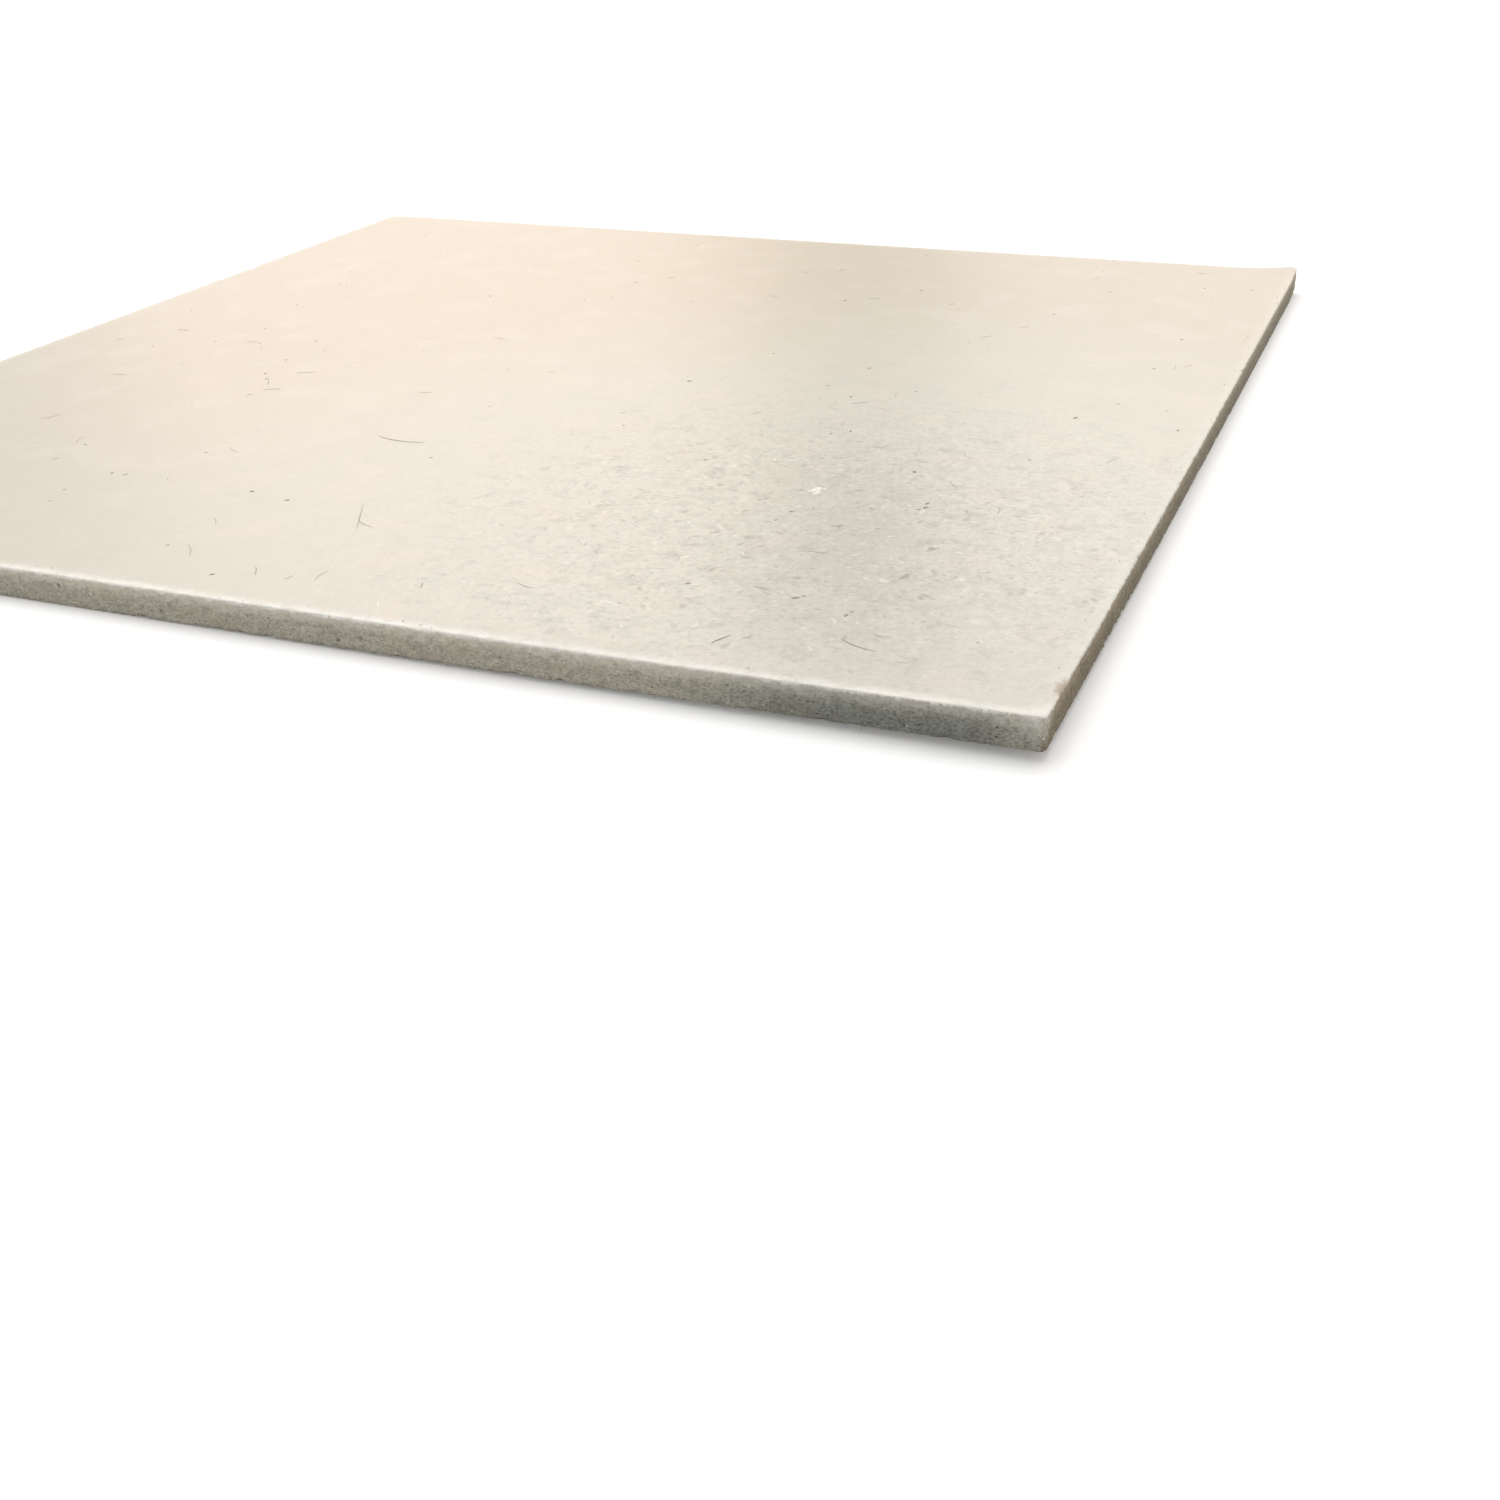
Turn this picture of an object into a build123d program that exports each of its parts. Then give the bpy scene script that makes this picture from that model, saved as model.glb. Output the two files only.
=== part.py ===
from build123d import *
import math
import os

# A square chipboard sheet, pressed and sawn as one piece, lying on its back.
# The origin is under the middle of the sheet, on the floor. X runs along the front edge,
# Y runs away from it, and Z is up. Every length is in millimetres.

# The blank
sheet_length = 600.0
sheet_width = 600.0
sheet_thickness = 12.0

# The front right corner has curled up off the floor. The board bends one way only, like a
# very large roll, so its thickness stays the same all through the curl.
curl_height = 3.2
curl_reach = 310.0
curl_bearing = -45.0

# A fall has turned up the tip of the back right corner, in a much tighter bend
tip_height = 2.8
tip_reach = 26.0
tip_bearing = 45.0

# Handling has knocked the four corners round by different amounts, seen from above
front_right_knock = 2.0
back_right_knock = 4.5
back_left_knock = 6.0
front_left_knock = 3.0

# The saw leaves a soft lip on the good face and a sharper one underneath
face_lip_radius = 0.6
back_lip_radius = 0.4

# Two places where the lip of the face has crumbled, and one nick. Each is a shallow scoop
# out of the lip: its place along the edge, its length, and its bite square to the lip.
right_crumble_from_front = 21.0
right_crumble_length = 17.0
right_crumble_bite = 0.9
front_crumble_from_right = 212.0
front_crumble_length = 13.0
front_crumble_bite = 0.9
left_nick_from_back = 162.0
left_nick_length = 9.0
left_nick_bite = 1.3

half_length = sheet_length / 2
half_width = sheet_width / 2
sheet_diagonal = math.hypot(sheet_length, sheet_width)


def corner_bend(bearing, corner_x, corner_y, reach, height):
    """A bend up to a corner: its unit step in plan, how far along that it starts, and its radius."""
    step_x = math.cos(math.radians(bearing))
    step_y = math.sin(math.radians(bearing))
    start = corner_x * step_x + corner_y * step_y - reach
    radius = (reach**2 + height**2) / (2 * height)
    return step_x, step_y, start, radius


curl = corner_bend(curl_bearing, half_length, -half_width, curl_reach, curl_height)
tip = corner_bend(tip_bearing, half_length, half_width, tip_reach, tip_height)


def underside_height(x, y):
    """Height of the sheet's underside above the floor at a point of the plan."""
    height = 0.0
    for step_x, step_y, start, radius in (curl, tip):
        past_start = max(0.0, x * step_x + y * step_y - start)
        height += radius - math.sqrt(radius**2 - past_start**2)
    return height


def bent_slab(bend, reach):
    """A slab of the sheet's thickness, larger than the sheet, flat and then bent up to past its corner."""
    step_x, step_y, start, radius = bend
    sweep = math.asin((reach + sheet_thickness) / radius)
    face_radius = radius - sheet_thickness
    flat_from = start - sheet_diagonal

    def on_bend(layer_radius, share):
        angle = share * sweep
        return (start + layer_radius * math.sin(angle), radius - layer_radius * math.cos(angle))

    section = make_face([
        Line((flat_from, 0), on_bend(radius, 0)),
        ThreePointArc(on_bend(radius, 0), on_bend(radius, 0.5), on_bend(radius, 1)),
        Line(on_bend(radius, 1), on_bend(face_radius, 1)),
        ThreePointArc(on_bend(face_radius, 1), on_bend(face_radius, 0.5), on_bend(face_radius, 0)),
        Line(on_bend(face_radius, 0), (flat_from, sheet_thickness)),
        Line((flat_from, sheet_thickness), (flat_from, 0)),
    ])

    # The section stands upright along the bearing and is drawn out square to it
    along_bend = Plane(origin=(0, 0, 0), x_dir=(step_x, step_y, 0), z_dir=(step_y, -step_x, 0))
    return extrude(along_bend * section, amount=sheet_diagonal, both=True)


def pressed_sheet():
    """The sheet before sawing, larger than its outline: flat, with its curl and its turned-up tip."""
    tip_start = tip[2]
    past_tip_line = Box(sheet_diagonal, 2 * sheet_diagonal, sheet_diagonal)
    past_tip_line = Rot(0, 0, tip_bearing) * Pos(tip_start + sheet_diagonal / 2, 0, 0) * past_tip_line
    main_part = bent_slab(curl, curl_reach) - past_tip_line
    tip_part = bent_slab(tip, tip_reach) & past_tip_line
    return main_part + tip_part


def sawn_outline():
    """Everything inside the four sawn edges, with the knocked corners rounded in plan."""
    headroom = 4 * (curl_height + sheet_thickness)
    prism = Box(sheet_length, sheet_width, headroom)
    knocks = [
        (half_length, -half_width, front_right_knock),
        (half_length, half_width, back_right_knock),
        (-half_length, half_width, back_left_knock),
        (-half_length, -half_width, front_left_knock),
    ]
    for x, y, radius in knocks:
        upright = prism.edges().filter_by(Axis.Z).sort_by_distance((x, y, 0))[0]
        prism = fillet(upright, radius)
    return prism


def lips(sheet, side):
    """The edges round the face (side 1) or the back (side -1), without the lines where a bend starts."""
    surfaces = [face for face in sheet.faces() if side * face.normal_at().Z > 0.9]
    edges = [edge for face in surfaces for edge in face.edges()]
    return [edge for edge in edges if edges.count(edge) == 1]


def scoop(x, y, outward, length, bite):
    """A ball that cuts a shallow scoop, length long and bite deep, out of the face's lip at (x, y)."""
    radius = ((length / 2) ** 2 + bite**2) / (2 * bite)
    standoff = (radius - bite) / math.sqrt(2)
    lip_height = underside_height(x, y) + sheet_thickness
    centre = Vector(x, y, lip_height) + Vector(*outward, 1) * standoff
    return Pos(centre) * Sphere(radius)


def chipboard_sheet():
    """The whole sheet: pressed, sawn to size, its lips softened and its damage cut."""
    sheet = pressed_sheet() & sawn_outline()
    sheet = fillet(lips(sheet, 1), face_lip_radius)
    sheet = fillet(lips(sheet, -1), back_lip_radius)
    right_crumble_y = right_crumble_from_front - half_width
    front_crumble_x = half_length - front_crumble_from_right
    left_nick_y = half_width - left_nick_from_back
    sheet -= scoop(half_length, right_crumble_y, (1, 0), right_crumble_length, right_crumble_bite)
    sheet -= scoop(front_crumble_x, -half_width, (0, -1), front_crumble_length, front_crumble_bite)
    sheet -= scoop(-half_length, left_nick_y, (-1, 0), left_nick_length, left_nick_bite)
    return sheet


os.makedirs("parts", exist_ok=True)
sheet = chipboard_sheet()
export_step(sheet, "parts/chipboard_sheet.step")

box = sheet.bounding_box()
print("size", box.size, "lowest", box.min, "volume", sheet.volume)
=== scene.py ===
# %% [markdown]
# # A sheet of raw chipboard
#
# Chipboard is wood particles and glue, pressed hot between two steel plates and sawn to
# size. The plates leave a pale, dense, faintly shiny skin on both faces, with darker bark
# flakes and hairs of fibre caught in it. The saw opens a greyer, granular core on all four
# edges, and handling crumbles the lips where skin and saw cut meet.
#
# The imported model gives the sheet's true size and place. This lesson lays a detailed board
# over it, adds what is caught in the skin and what clings to the lips, and sets up the
# floor, the light and the camera.

# %% Load the fixed frame
import math
import random

import bmesh
import bpy
from mathutils import Matrix, Vector, noise
from mathutils.geometry import delaunay_2d_cdt


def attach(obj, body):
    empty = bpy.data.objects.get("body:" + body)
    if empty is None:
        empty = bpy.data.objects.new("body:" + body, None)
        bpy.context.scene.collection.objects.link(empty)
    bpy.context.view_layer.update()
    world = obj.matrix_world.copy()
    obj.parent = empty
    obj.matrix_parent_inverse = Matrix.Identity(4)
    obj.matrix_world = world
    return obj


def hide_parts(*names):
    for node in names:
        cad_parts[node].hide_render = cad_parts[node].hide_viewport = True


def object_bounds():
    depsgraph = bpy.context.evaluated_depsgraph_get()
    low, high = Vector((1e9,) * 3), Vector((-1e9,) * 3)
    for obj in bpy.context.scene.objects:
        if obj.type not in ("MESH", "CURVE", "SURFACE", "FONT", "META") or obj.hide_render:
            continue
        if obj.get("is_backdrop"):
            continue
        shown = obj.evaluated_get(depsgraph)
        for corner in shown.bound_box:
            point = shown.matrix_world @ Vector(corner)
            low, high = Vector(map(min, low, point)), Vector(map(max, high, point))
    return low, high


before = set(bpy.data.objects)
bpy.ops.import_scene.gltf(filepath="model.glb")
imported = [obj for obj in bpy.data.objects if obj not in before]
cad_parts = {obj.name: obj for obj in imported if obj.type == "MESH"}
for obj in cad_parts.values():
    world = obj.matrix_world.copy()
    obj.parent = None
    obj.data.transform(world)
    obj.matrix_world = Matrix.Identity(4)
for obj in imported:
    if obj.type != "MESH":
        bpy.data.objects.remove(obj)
cad_low, cad_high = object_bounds()
scene = bpy.context.scene
print("nodes", sorted(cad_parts), "box", cad_low, cad_high)

# %% [markdown]
# ## The sheet's sizes
#
# The maker's drawing is in millimetres, so the meshes are worked out in millimetres too and
# turned to metres at the very end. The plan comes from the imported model's box. The thickness
# and the two raised corners are restated from the drawing.

# %% Sizes in millimetres
MM = 0.001
box_size = (cad_high - cad_low) / MM
half_length = box_size.x / 2
half_width = box_size.y / 2
thickness = 12.0
face_lip = 0.6
back_lip = 0.4

# How far each corner is knocked round, seen from above, anticlockwise from the front right
knocks = [2.0, 4.5, 6.0, 3.0]
print("plan", box_size.x, "by", box_size.y, "mm, overall height", round(box_size.z, 2))

# %% [markdown]
# ## The raised corners
#
# A dry board often curls up at one corner, like a very large roll, and a fall can turn up the
# tip of another. Each is an arc of a circle that starts at a line across the sheet, so one
# formula gives the height of the underside anywhere.

# %% Height of the underside
def unit_step(degrees):
    """The step of length 1 in plan that heads that far anticlockwise from the X axis."""
    return Vector((math.cos(math.radians(degrees)), math.sin(math.radians(degrees))))


def corner_bend(bearing, corner_x, corner_y, reach, height):
    """A bend up to a corner: its step in plan, how far along that it starts, and its radius."""
    step = unit_step(bearing)
    start = step.dot((corner_x, corner_y)) - reach
    return step, start, (reach**2 + height**2) / (2 * height)


curl = corner_bend(-45.0, half_length, -half_width, 310.0, 3.2)
tip = corner_bend(45.0, half_length, half_width, 26.0, 2.8)


def underside(x, y):
    """Height of the sheet's underside above the floor."""
    height = 0.0
    for step, start, radius in (curl, tip):
        past_start = max(0.0, step.dot((x, y)) - start)
        height += radius - math.sqrt(radius**2 - past_start**2)
    return height


for sign_y in (-1, 1):
    print("lift at a right corner", round(underside(half_length, sign_y * half_width), 2), "mm")

# %% [markdown]
# ## The outline
#
# The outline is walked once, anticlockwise from the front left corner. Each sample remembers
# whether it is on a side or on a knocked corner, so the same walk can be drawn again on a
# smaller ring further in. The two sides near the camera get closer samples.

# %% Samples round the outline
side_spacing = [0.72, 0.8, 1.2, 1.2]
corner_spacing = 0.7
CORNER_SIGNS = [(1, -1), (1, 1), (-1, 1), (-1, -1)]


def outline_samples():
    """The walk round the sheet: ("side", side, share) and ("corner", corner, angle)."""
    samples = []
    for side, spacing in enumerate(side_spacing):
        count = round(box_size[side % 2] / spacing)
        samples += [("side", side, i / count) for i in range(count)]
        turns = max(4, round(math.pi / 2 * knocks[side] / corner_spacing))
        facing = math.radians(90 * side - 90)
        samples += [("corner", side, facing + math.pi / 2 * i / turns) for i in range(turns)]
    return samples


def ring_corner(corner, inset):
    """Centre and radius of a knocked corner on a ring that far inside the outline."""
    radius = knocks[corner] + inset
    sign_x, sign_y = CORNER_SIGNS[corner]
    across = half_length - inset - radius
    along = half_width - inset - radius
    return Vector((sign_x * across, sign_y * along)), radius


def ring_point(sample, inset):
    """The place of a sample on a ring that far inside the outline, and which way is out."""
    kind, number, part = sample
    centre, radius = ring_corner(number, inset)
    if kind == "corner":
        out = Vector((math.cos(part), math.sin(part)))
        return centre + out * radius, out
    out = unit_step(90 * number - 90)
    start_centre, start_radius = ring_corner(number - 1, inset)
    start = start_centre + out * start_radius
    end = centre + out * radius
    return start.lerp(end, part), out


samples = outline_samples()
print("samples round the outline", len(samples))

# %% [markdown]
# ## Damage as bites
#
# A crumbled lip, a chip and a pit are the same thing at different sizes: a ball of material
# that has gone. Any point of the board that falls inside a ball is pushed out to its surface.
# The three large bites are those of the maker's drawing. The small ones are scattered with a
# fixed seed, along both lips and over the sawn edges.

# %% The large bites, from the drawing
def lip_bite(sample_place, out, upward, length, bite):
    """A ball that takes a shallow scoop out of the face's lip (upward 1) or the back's (-1)."""
    radius = ((length / 2) ** 2 + bite**2) / (2 * bite)
    standoff = (radius - bite) / math.sqrt(2)
    level = underside(*sample_place) + (thickness if upward > 0 else 0.0)
    corner = Vector((*sample_place, level))
    return corner + Vector((*out, upward)) * standoff, radius


right_crumble = (half_length, 21.0 - half_width)
front_crumble = (half_length - 212.0, -half_width)
left_nick = (-half_length, half_width - 162.0)
large_bites = [
    (right_crumble, 17.0, lip_bite(right_crumble, (1, 0), 1, 17.0, 0.9)),
    (front_crumble, 13.0, lip_bite(front_crumble, (0, -1), 1, 13.0, 0.9)),
    (left_nick, 9.0, lip_bite(left_nick, (-1, 0), 1, 9.0, 1.3)),
]
bites_at = [[] for _ in samples]
places = [ring_point(sample, 0.0) for sample in samples]
for bite_place, length, ball in large_bites:
    for number, (place, out) in enumerate(places):
        if (place - Vector(bite_place)).length < length:
            bites_at[number].append(ball)
print("large bites", len(large_bites))

# %% The small bites, scattered
damage = random.Random(41)
bite_margin = 0.4


def add_bite(number, length, ball):
    """Notes a ball at every sample that it can reach."""
    centre_place = places[number][0]
    reach = length / 2 + bite_margin
    for step in (1, -1):
        offset = 0 if step == 1 else -1
        while (places[(number + offset) % len(samples)][0] - centre_place).length < reach:
            bites_at[(number + offset) % len(samples)].append(ball)
            offset += step


def scatter_lip_bites(count, upward, lengths, bites):
    """Small crumbled spots along the face's lip (1) or the back's (-1)."""
    for _ in range(count):
        number = damage.randrange(len(samples))
        length = damage.uniform(*lengths) * damage.uniform(0.5, 1.0)
        bite = min(damage.uniform(*bites), length * 0.3)
        add_bite(number, length, lip_bite(*places[number], upward, length, bite))


def scatter_pits(count, widths, depths):
    """Holes in the sawn edges where a particle has pulled out."""
    for _ in range(count):
        number = damage.randrange(len(samples))
        place, out = places[number]
        width = damage.uniform(*widths)
        depth = min(damage.uniform(*depths), width * 0.45)
        radius = ((width / 2) ** 2 + depth**2) / (2 * depth)
        level = underside(*place) + damage.uniform(1.0, thickness - 0.8)
        centre = Vector((*(place + out * (radius - depth)), level))
        add_bite(number, width, (centre, radius))


scatter_lip_bites(420, 1, (1.6, 5.0), (0.25, 0.6))
scatter_lip_bites(36, 1, (5.0, 11.0), (0.5, 0.95))
scatter_lip_bites(620, -1, (1.6, 6.0), (0.3, 0.8))
scatter_lip_bites(60, -1, (5.0, 12.0), (0.6, 1.2))
scatter_pits(1300, (0.9, 1.8), (0.25, 0.6))
scatter_pits(170, (1.8, 3.4), (0.4, 0.8))
print("bites noted", sum(len(near) for near in bites_at))

# %% [markdown]
# ## The section and its grain
#
# The board's section is a row of points from the face, over the upper lip, down the sawn edge,
# round the lower lip and in under the back. Sweeping it round the outline makes a band of
# quads. Every point is then set back a little by fractal noise, the torn grain of the core,
# and only ever inwards, so the highest grains still lie on the true saw line.

# %% The section
saw_rows = 14
face_steps = [7.0, 3.2, 1.5, 0.6]
back_steps = [0.6, 1.6, 3.6, 8.0]


def section(upper, lower):
    """The section's points: how far in, how far below the face, and which way it faces."""
    rows = [(upper + step, 0.0, 0.0) for step in face_steps]
    for turn in (0, 30, 60, 90):
        angle = math.radians(turn)
        rows.append((upper * (1 - math.sin(angle)), upper * (1 - math.cos(angle)), angle))
    cut = thickness - upper - lower
    for row in range(1, saw_rows):
        rows.append((0.0, upper + cut * row / saw_rows, math.pi / 2))
    for turn in (90, 120, 150, 180):
        angle = math.radians(turn)
        drop = thickness - lower * (1 + math.cos(angle))
        rows.append((lower * (1 - math.sin(angle)), drop, angle))
    rows += [(lower + step, thickness, math.pi) for step in back_steps]
    return rows


# %% The grain
coarse_grain, coarse_lumps = 0.16, 5.0
fine_grain, fine_lumps = 0.30, 1.7
skin_grain, skin_lumps = 0.05, 2.5
skin_fade = 3.0


def lumps(point, size, octaves=3):
    """Fractal noise from about 0 to 1 whose coarsest lumps are that many millimetres across."""
    value = noise.fractal(point / size, 1.0, 2.0, octaves)
    return min(1.0, max(0.0, 0.5 + 0.6 * value))


def grain_depth(point, inset, facing):
    """How far the surface is set back at a point, in millimetres."""
    sawn = math.sin(facing)
    rough = coarse_grain * lumps(point, coarse_lumps) + fine_grain * lumps(point, fine_lumps)
    skin = skin_grain * lumps(point, skin_lumps)
    fade = max(0.0, 1.0 - inset / skin_fade)
    return sawn * rough + (1 - sawn) * skin * fade


# %% Sweep the section round the outline
def board_point(sample, row, bites):
    """A point of the finished board, with the numbers that its material reads there."""
    inset, drop, facing = row
    place, out = ring_point(sample, inset)
    floor_gap = underside(*place)
    point = Vector((*place, floor_gap + thickness - drop))
    normal = Vector((*(out * math.sin(facing)), math.cos(facing)))
    point -= normal * grain_depth(point, inset, facing)
    broken = 0.0
    for centre, radius in bites:
        gap = point - centre
        if gap.length < radius:
            broken = max(broken, radius - gap.length)
            point = centre + gap.normalized() * radius
    below_face = floor_gap + thickness - point.z
    above_back = point.z - floor_gap
    return point, (below_face, above_back, inset, broken)


def lip_radius(place, mean, seed):
    """A lip's radius, which wanders about its mean along the edge."""
    point = Vector((*place, seed))
    return mean * (0.35 + 0.7 * lumps(point, 14.0) + 0.5 * lumps(point, 3.0))


row_count = len(section(face_lip, back_lip))
points, readings = [], []
for number, sample in enumerate(samples):
    place = places[number][0]
    rows = section(lip_radius(place, face_lip, 50.0), lip_radius(place, back_lip, 90.0))
    for row in rows:
        point, reading = board_point(sample, row, bites_at[number])
        points.append(point)
        readings.append(reading)
faces = []
for number in range(len(samples)):
    here = number * row_count
    following = (number + 1) % len(samples) * row_count
    for row in range(row_count - 1):
        faces.append((here + row, here + row + 1, following + row + 1, following + row))
print("rim points", len(points), "rim quads", len(faces))

# %% [markdown]
# ## Filling the face and the back
#
# Inside the rim the board is smooth, so large triangles will do. A Delaunay fill takes the
# innermost ring of the rim and a loose grid of inner points, and joins them with no hole and
# no overlap. The pressed face is not dead flat: it dips by a few hundredths of a millimetre.

# %% Fill a large surface
ring_inset = 13.0
grid_pitch = 13.0
grid_margin = 20.0
tip_pitch = 3.0
waviness = 0.05


def inner_points():
    """A ring of points some way in, a loose grid inside it, and a close one at the turned-up tip."""
    ring = [ring_point(sample, ring_inset)[0] for sample in samples[::6]]
    across = int((2 * half_length - 2 * grid_margin) / grid_pitch)
    step_x = (2 * half_length - 2 * grid_margin) / across
    step_y = (2 * half_width - 2 * grid_margin) / across
    corner = Vector((grid_margin - half_length, grid_margin - half_width))
    grid = []
    for i in range(across + 1):
        for j in range(across + 1):
            nudge = Vector((damage.uniform(-2, 2), damage.uniform(-2, 2)))
            grid.append(corner + Vector((i * step_x, j * step_y)) + nudge)
    far_corner = Vector((half_length, half_width))
    close = [far_corner - Vector((i, j)) * tip_pitch for i in range(4, 13) for j in range(4, 13)]
    return ring + grid + close


def fill(rim_numbers, up):
    """Joins a ring of rim points to new inner points; up is 1 for the face and -1 for the back."""
    rim = [points[number].xy for number in rim_numbers]
    inner = inner_points()
    loop = list(range(len(rim)))
    flat_points, _, triangles, origins = delaunay_2d_cdt(rim + inner, [], [loop], 1, 1e-4)[:4]
    numbers = []
    for flat, origin in zip(flat_points, origins):
        if origin and origin[0] < len(rim):
            numbers.append(rim_numbers[origin[0]])
            continue
        numbers.append(len(points))
        dip = waviness * lumps(Vector((*flat, 7.0 * up)), 70.0, 2)
        level = underside(*flat) + (thickness - dip if up > 0 else 0.0)
        points.append(Vector((*flat, level)))
        depth = 0.0 if up > 0 else thickness
        readings.append((depth, thickness - depth, grid_margin, 0.0))
    for triangle in triangles:
        corners = [numbers[corner] for corner in triangle]
        a, b, c = (points[corner].xy for corner in corners)
        turn = (b - a).cross(c - a)
        faces.append(corners if turn * up > 0 else corners[::-1])


rim_size = len(samples) * row_count
fill(range(0, rim_size, row_count), 1)
fill(range(row_count - 1, rim_size, row_count), -1)
print("points", len(points), "faces", len(faces))

# %% The board's mesh
def put_in_scene(name, data):
    """An object made of a mesh, a lamp or a camera."""
    made = bpy.data.objects.new(name, data)
    scene.collection.objects.link(made)
    return made


def mesh_object(name, vertices, polygons):
    """A smooth mesh object from points in millimetres."""
    mesh = bpy.data.meshes.new(name)
    mesh.from_pydata([vertex * MM for vertex in vertices], [], polygons)
    mesh.validate()
    mesh.shade_smooth()
    return put_in_scene(name, mesh)


board = mesh_object("board", points, faces)

# Each point stores the four numbers that were read there, for the material to look up by name
for position, name in enumerate(["below_face", "above_back", "inset", "broken"]):
    layer = board.data.attributes.new(name, "FLOAT", "POINT")
    layer.data.foreach_set("value", [reading[position] for reading in readings])
print("board points", len(board.data.vertices))

# %% [markdown]
# ## Materials: helpers
#
# Colours are written as sRGB hex values, as a paint chart gives them, and one function turns
# them to the linear values that the renderer works in. One small function adds a node with
# its settings and links. Masks, numbers from 0 to 1 that say where a colour shows, are made
# out of noise and distances.

# %% Colours and nodes
def linear(hex_colour):
    """An sRGB hex value as a linear colour with full alpha."""
    channels = [int(hex_colour[i:i + 2], 16) / 255 for i in (1, 3, 5)]
    bent = [c / 12.92 if c <= 0.04045 else ((c + 0.055) / 1.055) ** 2.4 for c in channels]
    return (*bent, 1.0)


# The trees of the materials and of the room. Nodes are added to the one opened last.
open_trees = []


def open_tree(owner):
    """Empties the tree of a material or of the world, and opens it for new nodes."""
    owner.use_nodes = True
    owner.node_tree.nodes.clear()
    open_trees.append(owner.node_tree)


def feed(node, inputs):
    """Links or sets a node's inputs."""
    for name, value in inputs.items():
        if isinstance(value, bpy.types.NodeSocket):
            open_trees[-1].links.new(value, node.inputs[name])
        else:
            node.inputs[name].default_value = value


def add(kind, inputs=None, **settings):
    """Adds a node, sets its settings, and links or sets its inputs."""
    node = open_trees[-1].nodes.new(kind)
    for name, value in settings.items():
        setattr(node, name, value)
    feed(node, inputs or {})
    return node


def new_material(name):
    """A material with an open tree, an output and a shader."""
    material = bpy.data.materials.new(name)
    open_tree(material)
    shader = add("ShaderNodeBsdfPrincipled")
    add("ShaderNodeOutputMaterial", {"Surface": shader.outputs["BSDF"]})
    return material, shader


# %% Places, masks and tints
def stretched(place, scales):
    """A place with each axis multiplied by its own scale."""
    made = add("ShaderNodeVectorMath", {0: place, 1: scales}, operation="MULTIPLY")
    return made.outputs["Vector"]


def in_millimetres():
    """The place on the object in millimetres."""
    return stretched(add("ShaderNodeTexCoord").outputs["Object"], (1 / MM,) * 3)


def distance_from(place, centre=(0.0, 0.0, 0.0)):
    """How far a place is from a centre."""
    made = add("ShaderNodeVectorMath", {0: place, 1: centre}, operation="DISTANCE")
    return made.outputs["Value"]


def ellipse_reach(place, centre, width, length, turn=0.0):
    """How far a place is from the middle of an ellipse in plan, as a share of its reach."""
    offset = add("ShaderNodeVectorMath", {0: place, 1: centre}, operation="SUBTRACT")
    turned = add("ShaderNodeVectorRotate", {
        "Vector": offset.outputs["Vector"], "Angle": turn}, rotation_type="Z_AXIS")
    return distance_from(stretched(turned.outputs["Vector"], (1 / width, 1 / length, 0.0)))


def cloud(place, size, detail=2.0, rough=0.5):
    """Soft noise from 0 to 1 whose lumps are that many millimetres across."""
    made = add("ShaderNodeTexNoise", {
        "Vector": place, "Scale": 1 / size, "Detail": detail, "Roughness": rough})
    return made.outputs["Fac"]


def ramp(value, low, high, to_low=0.0, to_high=1.0):
    """Turns a value between low and high smoothly into one between to_low and to_high."""
    made = add("ShaderNodeMapRange", {
        "Value": value, "From Min": low, "From Max": high, "To Min": to_low, "To Max": to_high},
        interpolation_type="SMOOTHSTEP")
    return made.outputs["Result"]


def combine(operation, first, second):
    """Two values added, subtracted and so on."""
    return add("ShaderNodeMath", {0: first, 1: second}, operation=operation).outputs[0]


def times(first, *others):
    """Values multiplied together. Of masks, that leaves what all of them let through."""
    for other in others:
        first = combine("MULTIPLY", first, other)
    return first


def tint(below, above, share, blend="MIX"):
    """One colour laid over another by a share from 0 to 1."""
    made = add("ShaderNodeMix", {"Factor": share, "A": below, "B": above},
               data_type="RGBA", blend_type=blend)
    return made.outputs["Result"]


def layered(colour, *layers):
    """A colour with others laid over it in turn, each a pair of a shade and its share."""
    for shade, share in layers:
        colour = tint(colour, shade, share)
    return colour


# %% [markdown]
# ## What is caught in the skin
#
# The skin of raw chipboard shows dust, bark and hairs of fibre, each at its own angle. A
# Voronoi texture deals out one place to each, and its random colour turns and sizes it, so one
# pattern serves for all of them: a small ellipse, turned by chance, with a ragged edge. On the
# faces the pattern is drawn in plan. On the sawn edges, which face four ways, it runs through
# the depth of the board, so that it never smears.

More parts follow.
